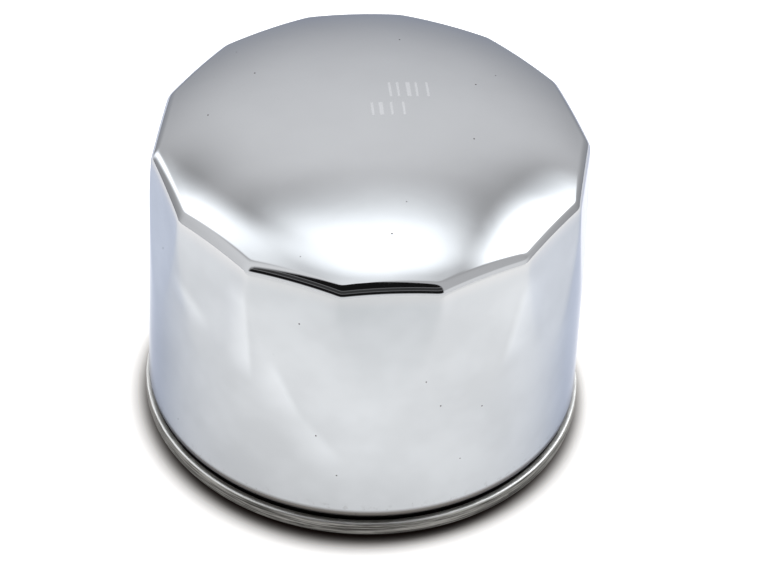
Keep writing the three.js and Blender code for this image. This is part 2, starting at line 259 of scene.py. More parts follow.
def softFolds(place):
    # Faint creases where the sheet gathered below the flutes' corners. Each rises over its width
    # across a straight line on the unrolled wall and falls away again over a longer distance. The
    # chrome also lightens its tint by these heights, a painted highlight.
    x, y, z = place.split()
    radius = boxOf("can")[1][0]
    start, full = foldLook["runIn"]
    around = x.math("ARCTAN2", x, -1 * y) * radius
    total = 0.0
    for fold in foldLook["folds"]:
        u, v = math.radians(fold["start"][0]) * radius, fold["start"][1]
        du, dv = math.radians(fold["end"][0]) * radius - u, fold["end"][1] - v
        length = math.hypot(du, dv)
        along = (around - u) * (du / length) + (z - v) * (dv / length)
        across = (around - u) * (dv / length) - (z - v) * (du / length)
        side = math.copysign(1.0, fold["fall"])
        rise = (across * side).ease(-fold["width"], fold["width"])
        fade = (across * side).ease(abs(fold["fall"]), 0.5 * fold["width"])
        within = along.ease(start, full) * along.ease(length - start, length - full)
        total = total + rise * fade * within * fold["height"]
    return total


def chromePlate():
    # Bright plate. A level of 0.5 gives the look's own tint and a higher one lightens it; the
    # creases lighten it as a painted highlight, and the wall's tint is a darker copy of the
    # dome's, a painted shade. Specks, stains along the seam, painted shade in the neck and the
    # etched bars go on top.
    material, place = newFinish("chromePlate")
    look = chromeLook
    x, y, z = place.split()
    onWall = z.ease(*look["wallTop"])
    bars = etchedBars(place)
    folds = softFolds(place)
    broad = place.noise(look["broadSize"], 2.0, 0.5, 1.0)
    cloud = place.noise(look["cloudSize"], 2.0, 0.55, 4.0)
    specks = place.dots(look["speckSpacing"], look["speckRadius"], look["speckShare"], 2.0)
    stains = place.noise(1.5, 3.0, 0.65, 8.0).ease(0.5, 0.75) * z.ease(9.2, 6.6) * 0.5
    # the neck below z = 7.5 mm is painted dark all round: painted shade, on top of the stains
    stainsAndPaintedShade = stains.most(z.ease(7.5, 6.5))
    wipes = place.scaled(1, 0.3, 1).noise(1.3, 2.0, 0.6, 5.0)
    shade = broad.ease(0.32, 0.68) * 0.5 + cloud.ease(0.3, 0.7) * 0.5 - 0.5
    spread = look["domeVariation"] + onWall * (look["wallVariation"] - look["domeVariation"])
    # the creases lighten the level along one side of each: a painted highlight
    level = shade * spread + 0.5 + folds * foldLook["shade"]
    # the wall gets the darker copy of the dome's tint: painted shade
    plate = onWall.blend([2 * c for c in look["domeTint"]], [2 * c for c in look["shadedWallTint"]])
    tint = spotted(level.blend((0, 0, 0), plate), stainsAndPaintedShade, look, "stainsAndPaintedShade")
    tint = specks.blend(tint, look["speckTint"])
    tint = spotted(tint, bars, etchLook, "tint")
    haze = wipes.ease(0.35, 0.75) * 0.03 + cloud.ease(0.4, 0.8) * 0.03
    roughness = look["roughness"] + haze + (specks + stainsAndPaintedShade) * 0.3 + bars * etchLook["roughness"]
    peel = place.noise(7.0, 2.0, 0.45, 3.0) * look["peelHeight"]
    inputs = {"Base Color": tint, "Metallic": 1.0, "Roughness": roughness,
              "Specular Tint": colour(look["edgeTint"])}
    return finishWith(material, inputs, peel + folds, 1.0)


zincLook = dict(dark=(0.46, 0.46, 0.45), light=(0.84, 0.84, 0.82), spangleSize=2.4,
                # the outer face's dark and light tints: painted shade
                faceShadeDark=(0.05, 0.049, 0.045), faceShadeLight=(0.31, 0.305, 0.29),
                faceShadeMix=(0.36, 0.66), faceFrom=(38.1, 38.4), faceBelow=(4.45, 4.2),
                # the near-black tint under the roll and where it goes: painted shade
                stainsAndPaintedShade=(0.02, 0.017, 0.015), stainsAndPaintedShadeStrength=0.85, underShadeFrom=(37.2, 37.9),
                underShadeBelow=(2.3, 1.8), nick=(0.62, 0.62, 0.60), nickStrength=0.6, roughness=0.26,
                bumpHeight=0.02)


def galvanisedSheet():
    # spangled zinc; the seam's outer face is painted dark with lines round it, a painted shade,
    # and the roll's lower edge near black, a painted shade
    look = zincLook
    material, place = newFinish("galvanisedSheet")
    brushed = aroundAxis(place, 7.0, 9.0).noise(1.0, 3.0, 0.6, 1.0)
    broad = aroundAxis(place, 2.5, 2.2).noise(1.0, 2.0, 0.5, 2.0)
    cells = {"Vector": place, "Scale": 1 / look["spangleSize"]}
    grain = place.add("TexVoronoi", {}, cells, output=1).split()[0]
    nicks = aroundAxis(place, 9.0, 3.0).dots(1.0, 0.16, 0.12, 3.0)
    lines = aroundAxis(place, 3.5, 2.6).noise(1.0, 3.0, 0.7, 5.0).ease(*look["faceShadeMix"])
    shade = brushed.ease(0.25, 0.75) * 0.5 + broad * 0.3 + grain * 0.2
    z = place.split()[2]
    radius = place.fromAxis()
    onFace = radius.ease(*look["faceFrom"]) * z.ease(*look["faceBelow"])
    # the roll's lower edge, painted near black: painted shade
    underRoll = radius.ease(*look["underShadeFrom"]) * z.ease(*look["underShadeBelow"])
    zinc = shade.blend(look["dark"], look["light"])
    # the outer face in darker tints with lines: painted shade
    faceShade = lines.blend(look["faceShadeDark"], look["faceShadeLight"])
    tint = spotted(onFace.blend(zinc, faceShade), underRoll, look, "stainsAndPaintedShade")
    tint = spotted(tint, nicks, look, "nick")
    roughness = look["roughness"] + brushed * 0.22 + grain * 0.08
    inputs = {"Base Color": tint, "Metallic": 0.95, "Roughness": roughness}
    height = brushed + grain * 0.15 + onFace * lines
    return finishWith(material, inputs, height, look["bumpHeight"])


plateLook = dict(dark=(0.20, 0.195, 0.185), light=(0.40, 0.39, 0.37), mix=(0.3, 0.7),
                 mottleSize=4.0, scaleSize=0.7, rust=(0.22, 0.12, 0.06), rustStrength=0.35,
                 rustSize=6.0, roughness=0.30, bumpHeight=0.02)


def platedSteel():
    # mill scale with a few rusty clouds, faced in a lathe
    look = plateLook
    material, place = newFinish("hotRolledPlate")
    mottle = place.noise(look["mottleSize"], 4.0, 0.6, 1.0)
    scale = place.noise(look["scaleSize"], 3.0, 0.7, 2.0)
    turning = aroundAxis(place, 1.5, 4.5).noise(1.0, 1.0, 0.5, 3.0)
    rust = place.noise(look["rustSize"], 4.0, 0.65, 6.0).ease(0.62, 0.74)
    tint = spotted(twoTone(mottle, look), rust, look, "rust")
    roughness = look["roughness"] + mottle * 0.18 + scale * 0.12 + rust * 0.2
    inputs = {"Base Color": tint, "Metallic": 0.92, "Roughness": roughness}
    return finishWith(material, inputs, scale * 0.5 + turning * 0.5, look["bumpHeight"])


def cloudedFinish(look):
    # Clouds of two tints with spots on them. The grain may be stretched, or run round the axis;
    # roughness and height are weighted sums of the named parts.
    material, place = newFinish(look["name"])
    cloud = place.noise(*look["cloud"])
    parts = {"cloud": cloud}
    tint = twoTone(cloud, look)
    if "grain" in look:
        along = place.scaled(*look["stretch"]) if "stretch" in look else place
        along = aroundAxis(place, *look["around"]) if "around" in look else along
        parts["grain"] = along.noise(*look["grain"])
    if "dots" in look:
        parts["spots"] = place.dots(*look["dots"])
        tint = spotted(tint, parts["spots"], look, "spot")
    if "wetOver" in look:
        parts["wet"] = cloud.ease(*look["wetOver"])
    rough = [parts[name] * weight for name, weight in look["roughParts"].items()]
    height = [parts[name] * weight for name, weight in look["heightParts"].items()]
    inputs = {"Base Color": tint, "Roughness": sum(rough, look["roughness"]), **look["surface"]}
    return finishWith(material, inputs, sum(height[1:], height[0]), look["bumpHeight"])


# Noise is given as size, detail, roughness, seed; dots as spacing, radius, share, seed.
tinLook = dict(
    name="tinnedSheet", dark=(0.52, 0.505, 0.46), light=(0.68, 0.665, 0.62), mix=(0.3, 0.7),
    cloud=(7.0, 3.0, 0.55, 2.0), around=(5.0, 5.0), grain=(1.0, 2.0, 0.5, 1.0),
    dots=(2.4, 0.12, 0.25, 3.0), spot=(0.2, 0.17, 0.13), spotStrength=0.6,
    roughness=0.22, roughParts={"grain": 0.14, "cloud": 0.1},
    heightParts={"grain": 1.0, "spots": -1.0}, bumpHeight=0.008, surface={"Metallic": 0.96},
)
springLook = dict(
    name="oilTemperedSteel", dark=(0.09, 0.10, 0.125), light=(0.24, 0.23, 0.225),
    mix=(0.3, 0.7), cloud=(3.0, 3.0, 0.6, 1.0), stretch=(1, 1, 3), grain=(0.4, 2.0, 0.5, 2.0),
    roughness=0.26, roughParts={"cloud": 0.15, "grain": 0.1}, heightParts={"grain": 1.0},
    bumpHeight=0.006, surface={"Metallic": 0.95},
)
gasketLook = dict(
    name="nitrileRubber", dark=(0.012, 0.012, 0.013), light=(0.028, 0.028, 0.03),
    mix=(0.35, 0.75), cloud=(5.0, 3.0, 0.6, 2.0), wetOver=(0.3, 0.7),
    grain=(0.22, 2.0, 0.6, 1.0), dots=(1.6, 0.1, 0.3, 3.0), spot=(0.18, 0.17, 0.16),
    spotStrength=0.4, roughness=0.36, roughParts={"wet": 0.22, "spots": 0.2},
    heightParts={"grain": 1.0}, bumpHeight=0.012, surface={"Specular IOR Level": 0.5},
)
valveLook = dict(
    name="siliconeRubber", dark=(0.36, 0.055, 0.02), light=(0.47, 0.085, 0.03),
    mix=(0.3, 0.7), cloud=(4.0, 3.0, 0.6, 1.0), grain=(0.3, 2.0, 0.6, 2.0),
    dots=(1.4, 0.1, 0.35, 3.0), spot=(0.7, 0.5, 0.4), spotStrength=0.35,
    roughness=0.42, roughParts={"cloud": 0.18}, heightParts={"grain": 1.0}, bumpHeight=0.012,
    surface={"Subsurface Weight": 0.08, "Subsurface Scale": 0.001},
)
pottingLook = dict(
    name="curedPlastisol", dark=(0.042, 0.047, 0.036), light=(0.085, 0.092, 0.07),
    mix=(0.3, 0.7), cloud=(1.6, 3.0, 0.6, 1.0), dots=(1.1, 0.16, 0.3, 2.0),
    spot=(0.02, 0.022, 0.017), spotStrength=0.5, roughness=0.38, roughParts={"cloud": 0.25},
    heightParts={"cloud": 1.0, "spots": -1.0}, bumpHeight=0.08, surface={},
)
paperLook = dict(dark=(0.56, 0.36, 0.13), light=(0.68, 0.48, 0.22), mix=(0.3, 0.7),
                 resinSize=4.0, fibreSize=0.35, fibre=(0.80, 0.63, 0.36), fibreStrength=0.4,
                 ribs=2.6, roughness=0.82, bumpHeight=0.05)


def filterPaper():
    # resin-treated paper: clouds of resin, fibres, and fine ribs across the pleats
    look = paperLook
    material, place = newFinish("resinedPaper")
    fibres = place.scaled(1, 1, 0.3).noise(look["fibreSize"], 4.0, 0.7, 1.0)
    resin = place.noise(look["resinSize"], 3.0, 0.6, 2.0)
    ribs = (place.split()[2] * look["ribs"]).sine()
    tint = spotted(twoTone(resin, look), fibres.ease(0.4, 0.8), look, "fibre")
    roughness = look["roughness"] + fibres * 0.14
    inputs = {"Base Color": tint, "Roughness": roughness, "Sheen Weight": 0.12}
    return finishWith(material, inputs, fibres + ribs * 0.3, look["bumpHeight"])


finishes = {
    "chrome": chromePlate(),
    "galvanised": galvanisedSheet(),
    "plate_steel": platedSteel(),
    "tinplate": cloudedFinish(tinLook),
    "spring_steel": cloudedFinish(springLook),
    "nitrile": cloudedFinish(gasketLook),
    "silicone": cloudedFinish(valveLook),
    "plastisol": cloudedFinish(pottingLook),
    "paper": filterPaper(),
}
print("finishes made:", len(finishes))


def easeCurve(t):
    # 3t^2 - 2t^3
    return t * t * (3 - 2 * t)


def rounded(corners, setback=0.2, steps=5):
    # Closed outline. Each corner c, between neighbours p and n, gives way to the parabola
    # (1-t)^2 a + 2t(1-t) c + t^2 b, where a and b lie one setback from c towards p and n.
    here = np.array(corners, float)
    before = np.roll(here, 1, axis=0) - here
    after = np.roll(here, -1, axis=0) - here
    lengthBefore = np.linalg.norm(before, axis=1, keepdims=True)
    lengthAfter = np.linalg.norm(after, axis=1, keepdims=True)
    wanted = np.broadcast_to(np.asarray(setback, float), len(here))[:, None]
    reach = np.minimum(wanted, 0.45 * np.minimum(lengthBefore, lengthAfter))
    start = (here + before / lengthBefore * reach)[:, None]
    end = (here + after / lengthAfter * reach)[:, None]
    t = np.linspace(0, 1, steps)[None, :, None]
    loop = ((1 - t) ** 2 * start + 2 * t * (1 - t) * here[:, None] + t ** 2 * end).reshape(-1, 2)
    return np.vstack([loop, loop[:1]])


def outlineOf(corners, steps=6):
    # closed outline through (r, z, setback) corners
    return rounded([c[:2] for c in corners], [c[2] for c in corners], steps)


def fullTurn(sides):
    return np.linspace(0, 2 * math.pi, sides + 1)


def onAxis(r, angle, z):
    # the point (r sin a, -r cos a, z)
    return np.stack([r * np.sin(angle), -r * np.cos(angle), z + 0 * angle], axis=-1)


def turned(outline, angles):
    # rows are the outline's (r, z), columns the angles
    return onAxis(outline[:, 0, None], angles, outline[:, 1, None])


def meshFrom(name, patches, weld=0.002):
    # Grids of points, (rows, columns, 3) in mm. Points closer than `weld` become one, which
    # closes seams, poles and the joins between grids.
    points, quads, start = [], [], 0
    for patch in patches:
        rows, columns = patch.shape[:2]
        index = start + np.arange(rows * columns).reshape(rows, columns)
        corners = [index[:-1, :-1], index[:-1, 1:], index[1:, 1:], index[1:, :-1]]
        quads.append(np.stack(corners, axis=-1).reshape(-1, 4))
        points.append(patch.reshape(-1, 3))
        start += rows * columns
    mesh = bpy.data.meshes.new(name)
    mesh.from_pydata((np.vstack(points) * mm).tolist(), [], np.vstack(quads).tolist())
    work = bmesh.new()
    work.from_mesh(mesh)
    bmesh.ops.remove_doubles(work, verts=work.verts, dist=weld * mm)
    bmesh.ops.dissolve_degenerate(work, edges=work.edges, dist=0.2 * weld * mm)
    bmesh.ops.recalc_face_normals(work, faces=work.faces)
    work.to_mesh(mesh)
    work.free()
    mesh.shade_smooth()
    mesh.set_sharp_from_angle(angle=math.radians(38))
    return mesh


def addPiece(name, patches, slot, body, node):
    mesh = meshFrom(name, patches)
    mesh.materials.append(finishes[slot])
    piece = bpy.data.objects.new(name, mesh)
    bpy.context.scene.collection.objects.link(piece)
    if body:
        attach(piece, body)
    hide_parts(node)
    return piece


def addTurned(name, outline, sides, slot, body, node):
    return addPiece(name, [turned(outline, fullTurn(sides))], slot, body, node)


canLow, canHigh = boxOf("can")
canShape = dict(radius=canHigh[0], sheet=0.6, neckRadius=36.9, flangeRadius=37.7,
                flangeInner=36.3, flangeBottom=canLow[2], shoulder=6.5, neckTop=5.2,
                top=canHigh[2], crown=3.95, brow=1.86, fillet=2.8, rimDrop=1.96, flutes=14,
                turn=math.radians(-6.14), apothem=37.0, fluteLength=24.0, cornerSoftness=0.10,
                fadeSoftness=0.05, columns=14 * 28, bend=0.15)


def domeHeight(r):
    # top - crown s^2 - brow s^6, where s = r / apothem
    s = canShape
    share = r / s["apothem"]
    return s["top"] - s["crown"] * share ** 2 - s["brow"] * share ** 6


def domeSlope(r):
    s = canShape
    share = r / s["apothem"]
    return math.atan((2 * s["crown"] * share + 6 * s["brow"] * share ** 5) / s["apothem"])


rimSlope = domeSlope(canShape["apothem"] - canShape["fillet"])
rimZ = domeHeight(canShape["apothem"]) - canShape["rimDrop"]


def softLeast(values, softness):
    # -k ln(sum exp(-v / k)): the least of the values, with its creases rounded
    low = np.min(values, axis=0)
    total = sum(np.exp(-(value - low) / softness) for value in values)
    return low - softness * np.log(total)


def wallRadius(angle, z):
    # The nearest of three neighbouring flats, each apothem / cos(angle off its middle) and leaning
    # out downwards, or the round can where that is nearer.
    s = canShape
    pitch = 2 * math.pi / s["flutes"]
    turns = (angle - s["turn"]) / pitch
    off = (turns - np.floor(turns) - 0.5) * pitch
    lean = (s["radius"] - s["apothem"]) / s["fluteLength"]
    flatRadius = s["apothem"] + lean * (rimZ - z)
    flats = [flatRadius / np.cos(off + side * pitch) for side in (-1, 0, 1)]
    wall = softLeast(flats, s["cornerSoftness"])
    return softLeast([wall, s["radius"] + 0 * wall], s["fadeSoftness"])


def canSkin(angle, inset, counts):
    # Radius and height for rows from the neck to the dome's centre: an S-shaped neck, the fluted
    # wall, an arc over the rim, and the dome. inset moves the skin inwards by the sheet.
    s = canShape
    neckRows, wallRows, rimRows, domeRows = counts
    lean = math.atan((s["radius"] - s["apothem"]) / s["fluteLength"])
    rimRadius = wallRadius(angle, rimZ)
    middle = rimRadius - s["fillet"]
    edge = middle + s["fillet"] * math.sin(rimSlope)
    arcZ = domeHeight(edge) - s["fillet"] * math.cos(rimSlope)
    t = np.linspace(0, 1, neckRows)[:, None]
    step = s["radius"] - s["neckRadius"]
    neckR = s["neckRadius"] + step * (1 - (1 - t) ** 2) ** 0.5 - inset + 0 * angle
    neckZ = s["neckTop"] + (s["shoulder"] - s["neckTop"]) * t + 0 * angle
    wallTop = arcZ + s["fillet"] * math.sin(lean)
    t = np.linspace(0, 1, wallRows + 1)[1:, None]
    wallZ = s["shoulder"] + (wallTop - s["shoulder"]) * t
    startR = middle + s["fillet"] * math.cos(lean)
    wallR = wallRadius(angle, wallZ) + (startR - wallRadius(angle, wallTop)) * t - inset
    slope = np.linspace(math.pi / 2 - lean, rimSlope, rimRows + 1)[1:, None]
    inner = s["fillet"] - inset
    rimR = middle + inner * np.sin(slope)
    rimHeight = arcZ + inner * np.cos(slope)
    t = np.linspace(1, 0, domeRows + 1)[1:, None]
    innerEdge = middle + inner * math.sin(rimSlope)
    domeR = innerEdge * t
    domeZ = domeHeight(edge * t) - inset * (1 - t) - inset * math.cos(rimSlope) * t
    r = np.vstack([neckR, wallR, rimR, domeR])
    z = np.vstack([neckZ, wallZ, rimHeight, domeZ])
    return r, z


def canGrid():
    # inner skin from the dome's centre down, round the flange, outer skin up to the centre again
    s = canShape
    angle = fullTurn(s["columns"]) + s["turn"]
    innerR, innerZ = canSkin(angle, s["sheet"], (5, 8, 5, 8))
    outerR, outerZ = canSkin(angle, 0.0, (12, 40, 18, 46))
    low, high = s["flangeBottom"], s["flangeBottom"] + s["sheet"]
    flange = np.array([[s["flangeInner"], low], [s["flangeRadius"], low],
                       [s["flangeRadius"], high], [s["neckRadius"] + s["bend"], high],
                       [s["neckRadius"], high + s["bend"]]])
    return np.vstack([onAxis(innerR[::-1], angle, innerZ[::-1]), turned(flange, angle),
                      onAxis(outerR, angle, outerZ)])


addPiece("drawnCan", [canGrid()], "chrome", "housing", "can")
print("can made")


lidLow, lidHigh = boxOf("seaming_lid")
lidShape = dict(radius=lidHigh[0], bottom=lidLow[2], seamTop=4.5, sheet=0.6, inner=26.0,
                roof=5.2, ribInner=29.0, ribOuter=30.4, ribFoot=2.8, channel=35.0, lip=37.5)


def lidOutline():
    # from the roof's inner edge out, down and up the rib, down the channel's wall, round the
    # rolled seam to its lip, and back one sheet further in
    s = lidShape
    hook = s["seamTop"] - s["sheet"]
    web = s["roof"] + s["sheet"]
    corners = [
        (s["inner"], s["roof"], 0.15), (s["ribInner"], s["roof"], 0.3),
        (s["ribInner"], s["ribFoot"], 0.5), (s["ribOuter"], s["ribFoot"], 0.5),
        (s["ribOuter"], s["roof"], 0.2), (s["channel"], s["roof"], 0.4),
        (s["channel"], s["bottom"], 0.6), (s["radius"], s["bottom"], 0.75),
        (s["radius"], s["seamTop"], 0.45), (s["lip"], s["seamTop"], 0.2),
        (s["lip"], hook, 0.15), (s["radius"] - s["sheet"], hook, 0.12),
        (s["radius"] - s["sheet"], s["bottom"] + s["sheet"], 0.12),
        (s["channel"] + s["sheet"], s["bottom"] + s["sheet"], 0.12),
        (s["channel"] + s["sheet"], web, 0.4), (s["inner"], web, 0.15),
    ]
    return outlineOf(corners, 7)


def ringFrom(node, inner, setback, steps=6):
    # a plain ring with eased edges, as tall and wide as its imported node
    low, high = boxOf(node)
    corners = [(inner, low[2]), (high[0], low[2]), (high[0], high[2]), (inner, high[2])]
    return rounded(corners, setback, steps)


compoundShape = dict(inner=36.3, setback=0.12)
gasketShape = dict(inner=30.8, setback=0.7, steps=9)
addTurned("seamingLid", lidOutline(), 256, "galvanised", "housing", "seaming_lid")
addTurned("seamCompound", ringFrom("seam_compound", **compoundShape), 128, "plastisol",
          "housing", "seam_compound")
addTurned("gasketRing", ringFrom("mounting_gasket", **gasketShape), 192, "nitrile", "housing",
          "mounting_gasket")
print("lid and gasket made")


def loopRound(low, high, acrossSteps, upSteps):
    # a loop round the rectangle between two corners: along the bottom, up, back and down
    across = np.linspace(low[0], high[0], acrossSteps + 1)
    up = np.linspace(low[1], high[1], upSteps + 1)
    u = np.concatenate([across[:-1], np.full(upSteps, high[0]), across[::-1][:-1],
                        np.full(upSteps + 1, low[0])])
    v = np.concatenate([np.full(acrossSteps, low[1]), up[:-1], np.full(acrossSteps, high[1]),
                        up[::-1]])
    return np.stack([u, v], axis=-1)


def holedCell(border, centre, holeHalf, thickness, power=2.0, ease=0.15, rings=3):
    # The sheet between a cell's border and its hole, as (u, v, depth). The hole's edge lies at
    # (|c/a|^p + |s/b|^p)^(-1/p) from its centre; rows run in over one face, through and back.
    way = border - np.array(centre)
    distance = np.linalg.norm(way, axis=1, keepdims=True)
    unit = way / distance
    a, b = holeHalf
    edge = ((np.abs(unit[:, :1] / a) ** power + np.abs(unit[:, 1:] / b) ** power)
            ** (-1 / power))
    half = thickness / 2
    inwards = np.linspace(1, 0, rings + 1)
    t = np.linspace(0, 1, 4)
    reach = np.concatenate([np.full(rings, ease), ease * (1 - t) ** 2, ease * t ** 2,
                            np.full(rings, ease)])
    share = np.concatenate([inwards[:-1], 0 * t, 0 * t, inwards[::-1][1:]])
    corner = ease * t ** 2
    depth = np.concatenate([np.full(rings, half), half - corner, -half + corner[::-1],
                            np.full(rings, -half)])
    start = edge[None] + reach[:, None, None]
    span = start + (distance[None] - start) * share[:, None, None]
    flat = np.array(centre) + unit[None] * span
    return np.concatenate([flat, np.broadcast_to(depth[:, None, None],
                                                 flat.shape[:2] + (1,))], axis=-1)


def discCells(hole, inner, outer, low, high, ease):
    # a flat ring of cells with a round hole each; the first lies on +X
    half = math.pi / hole["count"]
    cells = []
    for k in range(hole["count"]):
        middle = math.pi / 2 + k * 2 * half
        loop = loopRound((-half, inner), (half, outer), hole["arcSteps"], hole["sideSteps"])
        border = onAxis(loop[:, 1], middle + loop[:, 0], 0)[:, :2]
        centre = (hole["circle"] * math.sin(middle), -hole["circle"] * math.cos(middle))
        cell = holedCell(border, centre, (hole["radius"],) * 2, high - low, ease=ease)
        cell[:, :, 2] += (low + high) / 2
        cells.append(cell)
    return cells


def sleeveCells(sleeve, radius, middle, halfHeight, holeHalf, sheet, turn=0, power=2.0):
    # A ring of cells of an unrolled sleeve with a hole each, then bent round the axis: (u, v,
    # depth) goes to the angle u / radius, the height v and the radius plus the depth.
    half = math.pi / sleeve["around"] * radius
    cells = []
    for k in range(sleeve["around"]):
        centre = ((2 * k + turn) * half, middle)
        border = loopRound((-half, -halfHeight), (half, halfHeight), sleeve["arcSteps"],
                           sleeve["sideSteps"]) + np.array(centre)
        cell = holedCell(border, centre, holeHalf, sheet, power, sleeve["ease"])
        cells.append(onAxis(radius + cell[..., 2], cell[..., 0] / radius, cell[..., 1]))
    return cells


plateLow, plateHigh = boxOf("tapping_plate")
plateShape = dict(radius=plateHigh[0], bottom=plateLow[2], hubTop=plateHigh[2], thickness=3.2,
                  bore=8.7, hub=12.2, lead=0.9, ease=0.4, cellInner=15.4, cellOuter=29.0)
threadShape = dict(pitch=25.4 / 16, depth=0.8, fade=0.7, rows=104)
inletShape = dict(count=8, radius=3.1, circle=22.0, ease=0.25, arcSteps=16, sideSteps=14)


def threadDepth(angle, z, low, high):
    # A right-handed groove: depth times a clipped saw of z / pitch - angle / turn, faded at the
    # ends of the bore.
    s = threadShape
    phase = z / s["pitch"] - angle / (2 * math.pi)
    saw = np.abs(2 * (phase - np.floor(phase)) - 1)
    groove = np.clip(1.3 * saw - 0.15, 0, 1)
    fade = easeCurve(np.clip((z - low) / s["fade"], 0, 1)) * easeCurve(
        np.clip((high - z) / s["fade"], 0, 1))
    return s["depth"] * groove * fade


def hubGrid(angles):
    # from the cells' inner edge along the lower face, up the threaded bore, over the hub and down
    s = plateShape
    top = s["bottom"] + s["thickness"]
    boreLow, boreHigh = s["bottom"] + s["lead"], s["hubTop"] - s["ease"]
    bore = np.stack([np.full(threadShape["rows"], s["bore"]),
                     np.linspace(boreLow, boreHigh, threadShape["rows"])], axis=-1)
    below = np.array([[s["cellInner"], s["bottom"]], [s["bore"] + s["lead"], s["bottom"]]])
    above = np.array([[s["bore"] + s["ease"], s["hubTop"]], [s["hub"] - s["ease"], s["hubTop"]],
                      [s["hub"], s["hubTop"] - s["ease"]], [s["hub"], top + 1.0],
                      [s["hub"] + 0.3, top + 0.3], [s["hub"] + 1.0, top],
                      [s["cellInner"], top]])
    grid = turned(np.vstack([below, bore, above]), angles)
    cut = threadDepth(angles[None, :], bore[:, 1, None], boreLow, boreHigh)
    rows = slice(len(below), len(below) + len(bore))
    grid[rows, :, 0] += cut * np.sin(angles)
    grid[rows, :, 1] -= cut * np.cos(angles)
    return grid


def plateGrids():
    # the hub with its bore, the rim, and a ring of cells with an inlet hole each
    s, hole = plateShape, inletShape
    half = math.pi / hole["count"]
    angles = fullTurn(hole["count"] * hole["arcSteps"]) + math.pi / 2 - half
    top = s["bottom"] + s["thickness"]
    arc = s["cellOuter"] - 9
    corners = [(arc, s["bottom"]), (s["radius"], s["bottom"]), (s["radius"], top), (arc, top)]
    rim = rounded(corners, [0, s["ease"], 0.25, 0], 6)[6:18]
    rim = np.vstack([[s["cellOuter"], s["bottom"]], rim, [s["cellOuter"], top]])
    return [hubGrid(angles), turned(rim, angles)] + discCells(
        hole, s["cellInner"], s["cellOuter"], s["bottom"], top, hole["ease"])


addPiece("threadedPlate", plateGrids(), "plate_steel", "housing", "tapping_plate")
print("tapping plate made")


valveShape = dict(inner=12.5, waist=14.9, neck=14.3, thickness=1.2, plateTop=9.1, split=19.6,
                  lip=28.6, beadWidth=1.4, webRoot=2.4, webTip=1.7, bevel=1.2, neckRise=2.4,
                  heel=0.6, belly=0.5, crown=1.3, shoulder=1.8)


def collarOutline():
    # a ring round the hub with a neck above it and the first part of the sloping web
    s = valveShape
    low, high = boxOf("antidrain_collar")
    floor, shoulder = s["plateTop"], high[2] - s["neckRise"]
    corners = [
        (s["inner"], floor + s["bevel"], 0.2), (s["inner"] + s["bevel"], low[2], 0.3),
        (s["waist"], low[2], 0.3), (s["waist"], floor + s["webRoot"], 0.5),
        (s["split"], floor + s["webTip"], 0.1),
        (s["split"], floor + s["webTip"] + s["thickness"], 0.1),
        (s["waist"], floor + s["webRoot"] + s["thickness"] + 0.2, 0.6),
        (s["waist"], shoulder, 0.15), (s["neck"], shoulder, 0.25),
        (s["neck"], high[2], 0.4), (s["inner"], high[2], 0.4),
    ]
    return outlineOf(corners)


def flapOutline():
    # the web goes on outwards to a bead whose flat foot lies on the plate
    s = valveShape
    low, high = boxOf("antidrain_flap")
    floor, start = s["plateTop"], s["split"] + 0.02
    root, bead = floor + 1.65, s["lip"] - s["beadWidth"]
    corners = [
        (start, root, 0.1), (bead - s["heel"], floor + s["heel"], 0.6), (bead, low[2], 0.3),
        (s["lip"], low[2], 0.25), (high[0], floor + s["belly"], 0.25),
        (s["lip"], floor + s["crown"], 0.4), (bead, floor + s["shoulder"], 0.8),
        (start, root + s["thickness"], 0.1),
    ]
    return outlineOf(corners)


addTurned("valveCollar", collarOutline(), 144, "silicone", "housing", "antidrain_collar")
valveFlap = addTurned("valveFlap", flapOutline(), 144, "silicone", None, "antidrain_flap")
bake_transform(valveFlap)
print("anti-drain-back valve made")


cupShape = dict(sheet=0.5, neck=14.6, neckRise=2.7, seat=6.6, seatDepth=1.6)
pleatShape = dict(count=32, inner=17.0, outer=31.3, paper=0.6, fold=1.4, outerBend=0.5,
                  innerBend=0.3, bendSteps=5, rows=13, wave=0.12, waves=5)
tubeShape = dict(radius=15.9, sheet=0.6, hole=2.0, ease=0.1, around=8, rows=3, arcSteps=8,
                 sideSteps=8)
pottingShape = dict(inner=16.5, setback=0.3)


def lowerCupOutline():
    # floor and outer wall of the cup, with a short neck up round the perforated tube
    s = cupShape
    low, high = boxOf("lower_end_cap")
    floor, radius = low[2] + s["sheet"], high[0]
    corners = [
        (s["neck"], low[2], 0.5), (radius, low[2], 0.8), (radius, high[2], 0.12),
        (radius - s["sheet"], high[2], 0.12), (radius - s["sheet"], floor, 0.3),
        (s["neck"] + s["sheet"], floor, 0.2),
        (s["neck"] + s["sheet"], low[2] + s["neckRise"], 0.1),
        (s["neck"], low[2] + s["neckRise"], 0.1),
    ]
    return outlineOf(corners)


def upperCupOutline():
    # the valve's seat turned down in the middle, the roof, and the outer wall
    s = cupShape
    low, high = boxOf("upper_end_cap")
    roof, radius = high[2] - s["sheet"], high[0]
    corners = [
        (s["seat"], high[2] - s["seatDepth"], 0.1),
        (s["seat"] + s["sheet"], high[2] - s["seatDepth"], 0.1),
        (s["seat"] + s["sheet"], roof, 0.2), (radius - s["sheet"], roof, 0.3),
        (radius - s["sheet"], low[2], 0.12), (radius, low[2], 0.12),
        (radius, high[2], 0.8), (s["seat"], high[2], 0.5),
    ]
    return outlineOf(corners)


def zigzag(tip, tipHalf, root, rootHalf):
    # four corners to a pleat: its flat tip, then its flat root, at (r cos a, r sin a)
    pitch = 2 * math.pi / pleatShape["count"]
    middle = np.arange(pleatShape["count"])[:, None] * pitch
    turn = np.array([-tipHalf / tip, tipHalf / tip, pitch / 2 - rootHalf / root,
                     pitch / 2 + rootHalf / root])
    r = np.array([tip, tip, root, root])
    angle = middle + turn
    return np.stack([r * np.cos(angle), r * np.sin(angle)], axis=-1).reshape(-1, 2)


